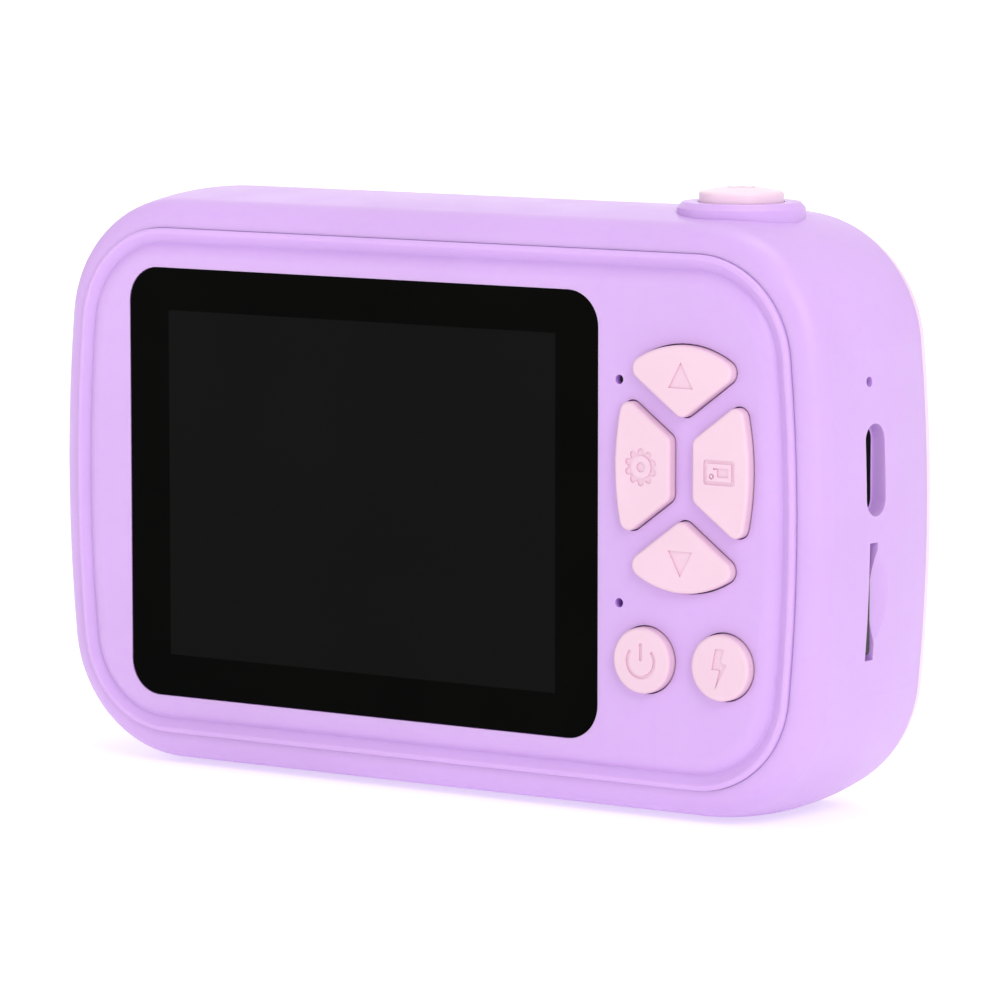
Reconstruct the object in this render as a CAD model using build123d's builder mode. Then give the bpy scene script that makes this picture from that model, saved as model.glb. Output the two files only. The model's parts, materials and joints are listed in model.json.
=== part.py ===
"""Kids digital camera: soft-cornered toy camera with a rear display and seven keys.

Millimetres, +Z up. The display faces -Y and the lens faces +Y. The origin is at the middle of
the bounding box, on the flat underside that the camera stands on. "Depth" is measured forwards
from the rear panel's face, "grow" outwards from the seam between rear cover and housing.
"""
from build123d import *
import math
import os

# Display and cover glass
display_w, display_h = 48.96, 36.72
display_x = -7.54
glass_w, glass_h, glass_corner_r, glass_t = 59.2, 45.6, 3.6, 0.85
glass_gap = 0.06
tape_t = 0.15

# Body outline at the seam, and its side profile
seam_half_w, seam_half_h = 44.9, 27.0
seam_corner_r, seam_side_r = 10.9, 177.7
seam_depth = 1.0
rear_fillet_r = 3.0
barrel_r, barrel_mid_depth = 54.0, 12.9
front_fillet_r = 6.5
parting_depth = 21.3
body_depth = 26.5
foot_grow = 3.6
inner_wall_grow = 1.8
ledge_grow, ledge_rear, ledge_front = -1.0, 3.2, 4.4

# Rear cover
panel_t = 2.0
panel_edge_w, panel_edge_drop = 1.95, 0.9
groove_half_w, groove_sag = 0.1, 0.04
bead_w, bead_top_depth, bead_peak_w = 1.55, 0.35, 0.48
bead_crest_depth, bead_crest_w, bead_end_depth = 0.45, 0.72, 0.8

# Front cover and lens
cover_wall = 1.8
tongue_grow, tongue_depth = 2.4, parting_depth + 0.8
lens_z = 1.0
ring_r, ring_bore_r, ring_proud = 17.0, 11.2, 1.9
window_r, window_t = 12.4, 1.2

# Keys
key_proud, key_gap, key_edge_r = 1.1, 0.14, 0.38
key_flange, key_flange_t = 0.65, 0.8
icon_depth = 0.15
pad_x, pad_z = 32.57, 5.53
pad_slant = 36.5
round_key_r, round_key_z, round_key_spacing = 3.36, -14.02, 9.24

# Shutter
shutter_x, shutter_depth = 32.0, 11.2
collar_r, collar_rise = 6.5, 0.82
collar_bore_r, cap_r, cap_proud = 4.44, 4.3, 1.02
crown_rise, cap_edge_r = 0.5, 0.35

# Main board and what it carries
board_rear, board_t = 7.4, 1.0
board_half_w, board_half_h, board_corner_r = 44.6, 26.9, 9.0
board_front = board_rear + board_t
switch_size, switch_h, plunger_r = 4.5, 2.0, 1.15
plunger_top = 4.4
running_gap = 0.05
pinhole_r = 0.48
led_x, led_z = 24.64, 14.09
mic_x, mic_z = 24.68, -8.5

# Right-hand side
reset_depth, reset_z, reset_hole_r = 9.57, 14.33, 0.52
usb_z, usb_depth, usb_h, usb_w = 5.5, 10.17, 9.3, 3.46
usb_floor_x, usb_port_h, usb_port_w = 47.1, 8.6, 2.7
card_z, card_slot_depth, card_slot_h, card_slot_w = -7.72, 9.76, 11.9, 1.4
scoop_half, scoop_reach, scoop_deep = 5.2, 2.1, 0.98
card_len, card_h, card_t = 15.0, 11.0, 0.7
card_end_x = 47.9
card_push = 0.6

# Worked out from the above
glass_y = -(body_depth + ring_proud - key_proud) / 2
mid_z = seam_half_h + foot_grow
barrel_centre_grow = -math.sqrt(
    (barrel_r - rear_fillet_r) ** 2 - (barrel_mid_depth - seam_depth - rear_fillet_r) ** 2
)
body_grow = barrel_centre_grow + barrel_r
front_fillet_depth = body_depth - front_fillet_r
front_fillet_grow = barrel_centre_grow + math.sqrt(
    (barrel_r - front_fillet_r) ** 2 - (front_fillet_depth - barrel_mid_depth) ** 2
)

os.makedirs("parts", exist_ok=True)


def rear_plane(depth):
    """A sketch plane `depth` behind the rear face: X to the right, Y up, facing the user."""
    return Plane(origin=(0, glass_y + depth, mid_z), x_dir=(1, 0, 0), z_dir=(0, -1, 0))


def wall_plane():
    """The section plane at mid-width: X is depth and Y is grow, over the top edge's seam."""
    return Plane(origin=(0, glass_y, mid_z + seam_half_h), x_dir=(0, 1, 0), z_dir=(1, 0, 0))


def side_plane(x):
    """A sketch plane at `x`, seen from the right: X is depth and Y is up."""
    return Plane(origin=(x, glass_y, mid_z), x_dir=(0, 1, 0), z_dir=(1, 0, 0))


def level_plane(z):
    """A level sketch plane `z` above the body's middle, with X right and Y forwards."""
    return Plane(origin=(0, glass_y, mid_z + z), x_dir=(1, 0, 0), z_dir=(0, 0, 1))


def finish(builder, name):
    """Label a finished piece and write it."""
    builder.part.label = name
    export_step(builder.part, f"parts/{name}.step")


def body_outline(grow):
    """Draw the body's closed outline: flat top and bottom, bulged sides and round corners."""
    half_w, half_h = seam_half_w + grow, seam_half_h + grow
    corner_r, side_r = seam_corner_r + grow, seam_side_r + grow
    side_x, corner_z = half_w - side_r, half_h - corner_r
    corner_x = side_x + math.sqrt((side_r - corner_r) ** 2 - corner_z**2)
    side_angle = math.degrees(math.atan2(corner_z, corner_x - side_x))
    turn = side_angle - 90
    Line((0, half_h), (corner_x, half_h))
    CenterArc((corner_x, corner_z), corner_r, 90, turn)
    CenterArc((side_x, 0), side_r, side_angle, -2 * side_angle)
    CenterArc((corner_x, -corner_z), corner_r, -side_angle, turn)
    Line((corner_x, -half_h), (-corner_x, -half_h))
    CenterArc((-corner_x, -corner_z), corner_r, 270, turn)
    CenterArc((-side_x, 0), side_r, 180 + side_angle, -2 * side_angle)
    CenterArc((-corner_x, corner_z), corner_r, 180 - side_angle, turn)
    Line((-corner_x, half_h), (0, half_h))


def body_face(grow):
    """The filled outline of the body."""
    with BuildSketch() as face:
        with BuildLine():
            body_outline(grow)
        make_face()
    return face.sketch


def tangent_grow_depth(centre_grow, centre_depth):
    """The point where an arc with this centre runs smoothly into the barrel's side."""
    reach = math.hypot(centre_grow - barrel_centre_grow, centre_depth - barrel_mid_depth)
    scale = barrel_r / reach
    grow = barrel_centre_grow + scale * (centre_grow - barrel_centre_grow)
    return grow, barrel_mid_depth + scale * (centre_depth - barrel_mid_depth)


def front_fillet_point(depth):
    """The outer surface's grow where the front fillet passes `depth`."""
    return front_fillet_grow + math.sqrt(front_fillet_r**2 - (depth - front_fillet_depth) ** 2)


def arc_middle(centre, start, end):
    """The point halfway along the short arc from start to end about centre."""
    mid = ((start[0] + end[0]) / 2 - centre[0], (start[1] + end[1]) / 2 - centre[1])
    radius = math.dist(centre, start)
    scale = radius / math.hypot(*mid)
    return (centre[0] + mid[0] * scale, centre[1] + mid[1] * scale)


def at(x, depth, z):
    """A point by X, depth and height above the body's middle."""
    return Vector(x, glass_y + depth, mid_z + z)


def lead(points, bend_r, radius=0.5):
    """One insulated lead along straight runs joined by a tangent arc."""
    start = points[0]
    with BuildPart() as wire:
        with BuildLine() as route:
            FilletPolyline(*points, radius=bend_r)
        with BuildSketch(Plane(origin=start, z_dir=points[1] - start)):
            Circle(radius)
        sweep(path=route.wires()[0])
    return wire.part


def ribbon(plane, points, bend_r, width, thickness=0.2):
    """A flat flex cable: a bent strip drawn on `plane` and drawn out to its width."""
    with BuildPart() as flex:
        with BuildSketch(plane):
            with BuildLine():
                FilletPolyline(*points, radius=bend_r)
            trace(line_width=thickness)
        extrude(amount=width)
    return flex.part


# ---------------------------------------------------------------- thumb scoop
# A tilted cylinder that cuts a fingernail hollow at the front side of the card slot
scoop_r = (scoop_half**2 + scoop_deep**2) / (2 * scoop_deep)
slot_front = card_slot_depth + card_slot_w / 2
side_face_x = seam_half_w + body_grow - card_z**2 / (2 * seam_side_r)
scoop_slope = math.atan2(scoop_deep, scoop_reach)
scoop_axis = Vector(math.sin(scoop_slope), math.cos(scoop_slope), 0)
scoop_normal = Vector(math.cos(scoop_slope), -math.sin(scoop_slope), 0)
scoop_floor = Vector(side_face_x - scoop_deep, glass_y + slot_front, mid_z + card_z)
scoop_plane = Plane(
    origin=scoop_floor + scoop_normal * scoop_r - scoop_axis * 1.2,
    x_dir=(0, 0, 1),
    z_dir=scoop_axis,
)
with BuildPart() as scoop:
    with BuildSketch(scoop_plane):
        Circle(scoop_r)
    extrude(amount=8)
    with BuildSketch(level_plane(-mid_z)):
        with Locations((side_face_x, slot_front - 10)):
            Rectangle(40, 20)
    extrude(amount=80, mode=Mode.SUBTRACT)

# ---------------------------------------------------------------- main housing
rear_grow, rear_depth = tangent_grow_depth(0, seam_depth + rear_fillet_r)
front_grow, front_depth = tangent_grow_depth(front_fillet_grow, front_fillet_depth)
parting_grow = front_fillet_point(parting_depth)
lug_points = [(sx * 39.3, sz * 21.4) for sx in (-1, 1) for sz in (-1, 1)]
board_posts = [(x, sz * 24.4) for x in (-30.0, 24.0) for sz in (-1, 1)]
post_r, screw_hole_r = 1.9, 0.65

with BuildPart() as main_housing:
    with BuildLine(rear_plane(0)) as seam_path:
        body_outline(0)
    with BuildSketch(wall_plane()):
        with BuildLine():
            seam = (seam_depth, 0)
            tangent_rear = (rear_depth, rear_grow)
            fillet_centre = (seam_depth + rear_fillet_r, 0)
            barrel_centre = (barrel_mid_depth, barrel_centre_grow)
            tangent_front = (front_depth, front_grow)
            front_centre = (front_fillet_depth, front_fillet_grow)
            rim = (parting_depth, parting_grow)
            ThreePointArc(seam, arc_middle(fillet_centre, seam, tangent_rear), tangent_rear)
            ThreePointArc(
                tangent_rear, arc_middle(barrel_centre, tangent_rear, tangent_front), tangent_front
            )
            ThreePointArc(tangent_front, arc_middle(front_centre, tangent_front, rim), rim)
            Polyline(
                rim,
                (parting_depth, tongue_grow),
                (tongue_depth, tongue_grow),
                (tongue_depth, inner_wall_grow),
                (ledge_front, inner_wall_grow),
                (ledge_front, ledge_grow),
                (ledge_rear, ledge_grow),
                (ledge_rear, 0),
                seam,
            )
        make_face()
    sweep(path=seam_path.wires()[0])
    # Screw lugs in the corners of the ledge
    with BuildSketch(rear_plane(ledge_rear)):
        with Locations(*lug_points):
            Circle(3.1)
    extrude(amount=-(ledge_front - ledge_rear))
    # Board posts, tied to the ledge by ribs
    with BuildSketch(rear_plane(ledge_rear)):
        with Locations(*board_posts):
            Circle(post_r)
        for x, z in board_posts:
            with Locations((x, z + math.copysign(1.6, z))):
                Rectangle(1.6, 3.6)
    extrude(amount=-(board_rear - ledge_rear))
    # Flat underside
    with BuildSketch(level_plane(-mid_z)):
        Rectangle(120, 80)
    extrude(amount=-5, mode=Mode.SUBTRACT)
    # Shutter collar with its bevelled rim
    with BuildSketch(level_plane(seam_half_h + inner_wall_grow + 0.4)):
        with Locations((shutter_x, shutter_depth)):
            Circle(collar_r)
    extrude(amount=body_grow - inner_wall_grow - 0.4 + 0.25)
    with BuildSketch(level_plane(seam_half_h + body_grow + 0.25)):
        with Locations((shutter_x, shutter_depth)):
            Circle(collar_r)
    extrude(amount=collar_rise - 0.25, taper=42)
    # Shutter pocket and stem hole
    with BuildSketch(level_plane(seam_half_h + body_grow + collar_rise)):
        with Locations((shutter_x, shutter_depth)):
            Circle(collar_bore_r)
    extrude(amount=-1.85, mode=Mode.SUBTRACT)
    with BuildSketch(level_plane(seam_half_h + body_grow + collar_rise)):
        with Locations((shutter_x, shutter_depth)):
            Circle(1.75)
    extrude(amount=-4, mode=Mode.SUBTRACT)
    # Holes for the screws
    with BuildSketch(rear_plane(ledge_rear)):
        with Locations(*lug_points):
            Circle(0.95)
    extrude(amount=-(ledge_front - ledge_rear), mode=Mode.SUBTRACT)
    with BuildSketch(rear_plane(board_rear)):
        with Locations(*board_posts):
            Circle(screw_hole_r)
    extrude(amount=3.2, mode=Mode.SUBTRACT)
    # USB-C opening, memory card slot and reset pinhole in the right-hand wall
    with BuildSketch(side_plane(43.0)):
        with Locations((usb_depth, usb_z)):
            SlotOverall(usb_port_h, usb_port_w, rotation=90)
        with Locations((card_slot_depth, card_z)):
            Rectangle(card_slot_w, card_slot_h)
        with Locations((reset_depth, reset_z)):
            Circle(reset_hole_r)
    extrude(amount=10, mode=Mode.SUBTRACT)
    with BuildSketch(side_plane(usb_floor_x)):
        with Locations((usb_depth, usb_z)):
            SlotOverall(usb_h, usb_w, rotation=90)
    extrude(amount=5, mode=Mode.SUBTRACT)
    add(scoop.part, mode=Mode.SUBTRACT)
finish(main_housing, "main_housing")

# ---------------------------------------------------------------- key outlines
slant_rise = math.tan(math.radians(pad_slant))
pad_tip_r, pad_corner_r, pad_side_corner_r = 1.1, 1.22, 1.05
pad_top, pad_top_arc_r = 12.43, 10.0
pad_side, pad_side_arc_r, pad_inner_side = 7.87, 28.0, 1.30
tip_start = 4.0 / math.cos(math.radians(pad_slant))
side_start = 1.7 / math.cos(math.radians(pad_slant))
menu_x, gallery_x = pad_x - 4.7, pad_x + 4.7
up_switch, down_switch = (pad_x, pad_z + 8.9), (pad_x, pad_z - 8.9)
menu_switch, gallery_switch = (menu_x, pad_z), (gallery_x, pad_z)
power_at = (pad_x - round_key_spacing / 2, round_key_z)
flash_at = (pad_x + round_key_spacing / 2, round_key_z)


def slant_meets_arc(start_z, centre_x, centre_z, radius):
    """Where the line rising from (0, start_z) at the pad's slant leaves a circle."""
    rise = start_z - centre_z
    a = 1 + slant_rise**2
    b = rise * slant_rise - centre_x
    c = centre_x**2 + rise**2 - radius**2
    x = (-b + math.sqrt(b * b - a * c)) / a
    return x, start_z + slant_rise * x


def fan_outline(side):
    """The up key's outline (side=1) or the down key's (side=-1), about the pad's centre."""
    corner_x, corner_z = slant_meets_arc(
        tip_start, 0, pad_top - pad_top_arc_r, pad_top_arc_r
    )
    left, right = (-corner_x, side * corner_z), (corner_x, side * corner_z)
    with BuildSketch() as outline:
        with BuildLine():
            Polyline(right, (0, side * tip_start), left)
            ThreePointArc(left, (0, side * pad_top), right)
        make_face()
        fillet(outline.vertices().filter_by(lambda v: abs(v.X) < 0.1), pad_tip_r)
        fillet(outline.vertices().filter_by(lambda v: abs(v.X) > corner_x - 0.1), pad_corner_r)
    return outline.sketch


def side_outline(side):
    """The menu key's outline (side=-1) or the gallery key's (side=1), about the pad's centre."""
    outer_x, outer_z = slant_meets_arc(
        side_start, pad_side - pad_side_arc_r, 0, pad_side_arc_r
    )
    inner_z = side_start + slant_rise * pad_inner_side
    top, bottom = (side * outer_x, outer_z), (side * outer_x, -outer_z)
    with BuildSketch() as outline:
        with BuildLine():
            Polyline(top, (side * pad_inner_side, inner_z), (side * pad_inner_side, -inner_z), bottom)
            ThreePointArc(bottom, (side * pad_side, 0), top)
        make_face()
        fillet(outline.vertices(), pad_side_corner_r)
    return outline.sketch


def round_outline():
    """The outline of the power and flash keys, about their own centre."""
    with BuildSketch() as outline:
        Circle(round_key_r)
    return outline.sketch


# ---------------------------------------------------------------- key icons
def triangle_icon(side):
    """A triangle that points up (side=1) or down (side=-1), about the pad's centre."""
    with BuildSketch() as icon:
        with BuildLine():
            Polyline((-1.44, side * 8.15), (1.44, side * 8.15), (0, side * 10.78), close=True)
        make_face()
    return icon.sketch


def gear_icon():
    """A ten-toothed gear with a raised ring round a sunk hub."""
    with BuildSketch() as icon:
        Circle(1.5)
        with PolarLocations(1.55, 10, start_angle=18):
            Circle(0.36)
        Circle(1.15, mode=Mode.SUBTRACT)
        Circle(0.5)
    return icon.sketch


def picture_icon():
    """A picture frame with a ring and a block in it."""
    with BuildSketch() as icon:
        RectangleRounded(3.6, 2.5, 0.35)
        RectangleRounded(2.85, 1.78, 0.12, mode=Mode.SUBTRACT)
        with Locations((-0.88, -0.4)):
            Circle(0.3)
            Circle(0.14, mode=Mode.SUBTRACT)
        with Locations((0.42, 0)):
            RectangleRounded(1.3, 0.92, 0.15)
        with Locations((-0.42, 0.38)):
            Rectangle(0.5, 0.16)
    return icon.sketch


def power_icon():
    """An open ring with a bar in its gap."""
    with BuildSketch() as icon:
        with BuildLine():
            CenterArc((0, -0.08), 1.6, 140, 260)
        trace(line_width=0.34)
        with Locations((0, 0.88)):
            SlotOverall(1.8, 0.34, rotation=90)
    return icon.sketch


def bolt_icon():
    """A lightning bolt."""
    with BuildSketch() as icon:
        with BuildLine():
            Polyline(
                (-0.45, 1.92), (0.58, 1.96), (0.19, 0.57), (0.9, 0.4),
                (-0.5, -2.2), (0.05, -0.2), (-0.88, -0.2), close=True,
            )
        make_face()
    return icon.sketch


# name, outline, where the outline and icon are drawn about, icon, icon's offset, switch position
keys = [
    ("up", fan_outline(1), (pad_x, pad_z), triangle_icon(1), (0, 0), up_switch),
    ("down", fan_outline(-1), (pad_x, pad_z), triangle_icon(-1), (0, 0), down_switch),
    ("menu", side_outline(-1), (pad_x, pad_z), gear_icon(), (-4.66, 0), menu_switch),
    ("gallery", side_outline(1), (pad_x, pad_z), picture_icon(), (4.52, 0), gallery_switch),
    ("power", round_outline(), power_at, power_icon(), (0, 0), power_at),
    ("flash", round_outline(), flash_at, bolt_icon(), (0, 0), flash_at),
]

# ---------------------------------------------------------------- keys and their plungers
for name, outline, centre, icon, icon_offset, switch_at in keys:
    with BuildPart() as key:
        with BuildSketch(rear_plane(-key_proud)):
            with Locations(centre):
                add(outline)
        extrude(amount=-(key_proud + panel_t + running_gap))
        fillet(key.edges().group_by(Axis.Y)[0], key_edge_r)
        with BuildSketch(rear_plane(panel_t + running_gap)) as flange:
            with Locations(centre):
                add(outline)
            offset(amount=key_flange)
        extrude(amount=-key_flange_t)
        with BuildSketch(rear_plane(panel_t + running_gap + key_flange_t)):
            with Locations(switch_at):
                Circle(1.3)
        extrude(amount=-(plunger_top - panel_t - running_gap - key_flange_t))
        with BuildSketch(rear_plane(-key_proud)):
            with Locations((centre[0] + icon_offset[0], centre[1] + icon_offset[1])):
                add(icon)
        extrude(amount=-icon_depth, mode=Mode.SUBTRACT)
    finish(key, f"{name}_button")

    with BuildPart() as plunger:
        with BuildSketch(rear_plane(plunger_top)):
            with Locations(switch_at):
                Circle(plunger_r)
        extrude(amount=-1.8)
    finish(plunger, f"{name}_plunger")

# ---------------------------------------------------------------- rear cover
window_x_margin, window_z_margin = 1.3, 1.3
lcd_x, lcd_w, lcd_h = -8.0, 54.0, 42.0
lcd_glass_t, lcd_depth, lcd_frame_t = 1.0, 1.0, 2.2
boss_r = 2.3

with BuildPart() as rear_cover:
    with BuildLine(rear_plane(0)) as rim_path:
        body_outline(0)
    with BuildSketch(wall_plane()):
        with BuildLine():
            fit = 0.04
            panel_edge = (0, -bead_w - panel_edge_w)
            groove_inner = (panel_edge_drop, -bead_w - groove_half_w)
            edge_run = panel_edge_w - groove_half_w
            edge_r = (panel_edge_drop**2 + edge_run**2) / (2 * panel_edge_drop)
            edge_middle = arc_middle((edge_r, panel_edge[1]), panel_edge, groove_inner)
            ThreePointArc(panel_edge, edge_middle, groove_inner)
            # Rounded groove, an even slope up from it, then the bead's crest turning down to the seam
            groove_outer = (panel_edge_drop, -bead_w + groove_half_w)
            ThreePointArc(groove_inner, (panel_edge_drop + groove_sag, -bead_w), groove_outer)
            crest_start, bead_end = (bead_crest_depth, -bead_crest_w), (bead_end_depth, -fit)
            Line(groove_outer, crest_start)
            ThreePointArc(crest_start, (bead_top_depth, -bead_peak_w), bead_end)
            Polyline(
                bead_end,
                (ledge_rear, -fit),
                (ledge_rear, -1.6),
                (panel_t, -1.6),
                (panel_t, -5.0),
                (0, -5.0),
                panel_edge,
            )
        make_face()
    sweep(path=rim_path.wires()[0])
    with BuildSketch(rear_plane(0)):
        add(body_face(-4.9))
    extrude(amount=-panel_t)
    # Screw bosses and the ribs that hold the display
    with BuildSketch(rear_plane(panel_t)):
        with Locations(*lug_points):
            Circle(boss_r)
    extrude(amount=-(ledge_rear - panel_t))
    with BuildSketch(rear_plane(panel_t)):
        for side in (-1, 1):
            with Locations((lcd_x + side * (lcd_w / 2 + 0.75), 0)):
                Rectangle(1.2, 24)
        with Locations((lcd_x, lcd_h / 2 + 0.75)):
            Rectangle(24, 1.2)
        with Locations((lcd_x - 17, -lcd_h / 2 - 0.75), (lcd_x + 19, -lcd_h / 2 - 0.75)):
            Rectangle(8, 1.2)
    extrude(amount=-1.8)
    # Recess for the cover glass, display window, key holes and pinholes
    with BuildSketch(rear_plane(0)):
        with Locations((display_x, 0)):
            RectangleRounded(
                glass_w + 2 * glass_gap, glass_h + 2 * glass_gap, glass_corner_r + glass_gap
            )
    extrude(amount=-(glass_t + tape_t), mode=Mode.SUBTRACT)
    with BuildSketch(rear_plane(0)):
        with Locations((display_x, 0)):
            Rectangle(display_w + 2 * window_x_margin, display_h + 2 * window_z_margin)
        with Locations((led_x, led_z), (mic_x, mic_z)):
            Circle(pinhole_r)
    extrude(amount=-panel_t, mode=Mode.SUBTRACT)
    for name, outline, centre, icon, icon_offset, switch_at in keys:
        with BuildSketch(rear_plane(0)):
            with Locations(centre):
                add(outline)
            offset(amount=key_gap)
        extrude(amount=-panel_t, mode=Mode.SUBTRACT)
    with BuildSketch(rear_plane(ledge_rear)):
        with Locations(*lug_points):
            Circle(screw_hole_r)
    extrude(amount=1.8, mode=Mode.SUBTRACT)
finish(rear_cover, "rear_cover")

# ---------------------------------------------------------------- front cover
speaker_x, speaker_z, speaker_r = 23.5, -13.0, 8.0
flash_x, flash_z = 23.5, 14.0
flash_window_r, flash_flange_r = 3.4, 4.6
spigot_r = 13.1
cover_inner_depth = body_depth - cover_wall
sensor_depth, sensor_t = body_depth - 13.2, 1.0
sensor_posts = [(-11.2, lens_z + 10.6), (11.2, lens_z - 10.6)]
flash_posts = [(flash_x - 5.6, flash_z), (flash_x + 5.6, flash_z)]
flash_board_depth, flash_board_t = body_depth - 5.2, 0.8
tongue_fit = 0.05

with BuildPart() as front_cover:
    with BuildLine(rear_plane(0)) as cover_path:
        body_outline(0)
    with BuildSketch(wall_plane()):
        with BuildLine():
            inner_r = front_fillet_r - cover_wall
            rabbet_depth = tongue_depth + tongue_fit
            inner_grow = front_fillet_grow + math.sqrt(
                inner_r**2 - (rabbet_depth - front_fillet_depth) ** 2
            )
            outer_start = (parting_depth, parting_grow)
            outer_end = (body_depth, front_fillet_grow)
            inner_start = (rabbet_depth, inner_grow)
            inner_end = (cover_inner_depth, front_fillet_grow)
            ThreePointArc(
                outer_start, arc_middle(front_centre, outer_start, outer_end), outer_end
            )
            Polyline(
                outer_end,
                (body_depth, front_fillet_grow - 2),
                (cover_inner_depth, front_fillet_grow - 2),
                inner_end,
            )
            ThreePointArc(
                inner_end, arc_middle(front_centre, inner_end, inner_start), inner_start
            )
            Polyline(
                inner_start,
                (rabbet_depth, tongue_grow + tongue_fit),
                (parting_depth, tongue_grow + tongue_fit),
                outer_start,
            )
        make_face()
    sweep(path=cover_path.wires()[0])
    with BuildSketch(rear_plane(body_depth)):
        add(body_face(front_fillet_grow - 1.9))
    extrude(amount=cover_wall)
    # Snap tabs that reach in behind the housing's tongue
    with BuildSketch(rear_plane(cover_inner_depth - 1.4)):
        with Locations((-22, 27.9), (22, 27.9), (-22, -27.9), (22, -27.9)):
            Rectangle(9, 1.4)
    extrude(amount=5)
    # Posts for the camera board and the flash board
    with BuildSketch(rear_plane(cover_inner_depth + 0.1)):
        with Locations(*sensor_posts):
            Circle(1.8)
    extrude(amount=cover_inner_depth + 0.1 - sensor_depth - sensor_t)
    with BuildSketch(rear_plane(cover_inner_depth + 0.1)):
        with Locations(*flash_posts):
            Circle(1.3)
    extrude(amount=cover_inner_depth + 0.1 - flash_board_depth - flash_board_t)
    # Lens hole, flash window hole and speaker grille
    with BuildSketch(rear_plane(body_depth)):
        with Locations((0, lens_z)):
            Circle(spigot_r + 0.05)
        with Locations((flash_x, flash_z)):
            Circle(flash_window_r + 0.05)
        with Locations((speaker_x, speaker_z)):
            Circle(0.65)
            with PolarLocations(2.4, 6):
                Circle(0.65)
            with PolarLocations(4.8, 12):
                Circle(0.65)
    extrude(amount=cover_wall, mode=Mode.SUBTRACT)
    with BuildSketch(rear_plane(sensor_depth + sensor_t)):
        with Locations(*sensor_posts):
            Circle(screw_hole_r)
    extrude(amount=-4, mode=Mode.SUBTRACT)
finish(front_cover, "front_cover")

# ---------------------------------------------------------------- lens ring, window and barrel
def lens_profile(points):
    """A turned piece about the lens axis, from its (radius, depth) half section."""
    with BuildPart() as turned:
        with BuildSketch(Plane(origin=at(0, 0, lens_z), x_dir=(1, 0, 0), z_dir=(0, 0, 1))):
            with BuildLine():
                Polyline(*points, close=True)
            make_face()
        revolve(axis=Axis(at(0, 0, lens_z), (0, 1, 0)))
    return turned.part


ring_front = body_depth + ring_proud
window_depth, spigot_depth = body_depth - 0.8, body_depth - 1.6
with BuildPart() as lens_ring:
    add(lens_profile([
        (spigot_r, spigot_depth), (spigot_r, body_depth), (ring_r, body_depth), (ring_r, ring_front),
        (ring_bore_r, ring_front), (ring_bore_r, window_depth + window_t),
        (window_r + 0.05, window_depth + window_t), (window_r + 0.05, spigot_depth),
    ]))
    fillet(lens_ring.edges().filter_by(GeomType.CIRCLE).group_by(Axis.Y)[-1], 0.8)
finish(lens_ring, "lens_ring")

with BuildPart() as lens_window:
    add(lens_profile([
        (0, window_depth), (window_r, window_depth), (window_r, window_depth + window_t),
        (0, window_depth + window_t),
    ]))
finish(lens_window, "lens_window")

with BuildPart() as lens_bezel:
    add(lens_profile([
        (4.7, window_depth - 1.9), (window_r, window_depth - 0.7), (window_r, window_depth),
        (window_r - 0.4, window_depth), (4.7, window_depth - 1.2),
    ]))
finish(lens_bezel, "lens_bezel")

with BuildPart() as lens_holder:
    with BuildSketch(rear_plane(sensor_depth + sensor_t)):
        with Locations((0, lens_z)):
            RectangleRounded(12, 12, 1)
    extrude(amount=-4)
    with BuildSketch(rear_plane(sensor_depth + 5)):
        with Locations((0, lens_z)):
            Circle(5.6)
    extrude(amount=-2)
    with BuildSketch(rear_plane(sensor_depth + 7)):
        with Locations((0, lens_z)):
            Circle(4.5)
    extrude(amount=6, mode=Mode.SUBTRACT)
finish(lens_holder, "lens_holder")

element_r, element_curve_r = 3.9, 8.5
element_back, element_front = sensor_depth + 6.2, sensor_depth + 9.95
with BuildPart() as lens_barrel:
    add(lens_profile([
        (3.0, sensor_depth + 2.4), (4.5, sensor_depth + 2.4), (4.5, sensor_depth + 7.6),
        (5.2, sensor_depth + 7.6), (5.2, sensor_depth + 10.0), (4.4, sensor_depth + 10.4),
        (element_r, sensor_depth + 10.4), (element_r, element_back), (3.0, element_back),
    ]))
finish(lens_barrel, "lens_barrel")

with BuildPart() as lens_element:
    with BuildSketch(Plane(origin=at(0, 0, lens_z), x_dir=(1, 0, 0), z_dir=(0, 0, 1))):
        with Locations((element_r / 2, (element_back + element_front) / 2)):
            Rectangle(element_r, element_front - element_back)
        with Locations((0, element_front - element_curve_r)):
            Circle(element_curve_r, mode=Mode.INTERSECT)
    revolve(axis=Axis(at(0, 0, lens_z), (0, 1, 0)))
finish(lens_element, "lens_element")

with BuildPart() as sensor_board:
    with BuildSketch(rear_plane(sensor_depth)):
        with Locations((0, lens_z)):
            RectangleRounded(27, 25, 1.5)
        with Locations(*sensor_posts):
            Circle(0.95, mode=Mode.SUBTRACT)
    extrude(amount=-sensor_t)
    with BuildSketch(rear_plane(sensor_depth + sensor_t)):
        with Locations((0, lens_z)):
            Rectangle(6, 6)
    extrude(amount=-0.8)
finish(sensor_board, "sensor_board")

# ---------------------------------------------------------------- flash
with BuildPart() as flash_window:
    with BuildSketch(rear_plane(body_depth)):
        with Locations((flash_x, flash_z)):
            Circle(flash_window_r)
    extrude(amount=cover_wall)
    with BuildSketch(rear_plane(cover_inner_depth)):
        with Locations((flash_x, flash_z)):
            Circle(flash_flange_r)
        with Locations(*flash_posts):
            Circle(1.4, mode=Mode.SUBTRACT)
    extrude(amount=0.8)
finish(flash_window, "flash_window")

with BuildPart() as flash_led:
    with BuildSketch(rear_plane(flash_board_depth)):
        with Locations((flash_x, flash_z)):
            RectangleRounded(14, 8, 1)
    extrude(amount=-flash_board_t)
    with BuildSketch(rear_plane(flash_board_depth + flash_board_t)):
        with Locations((flash_x, flash_z)):
            Rectangle(5, 5)
    extrude(amount=-0.8)
finish(flash_led, "flash_led")

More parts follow.
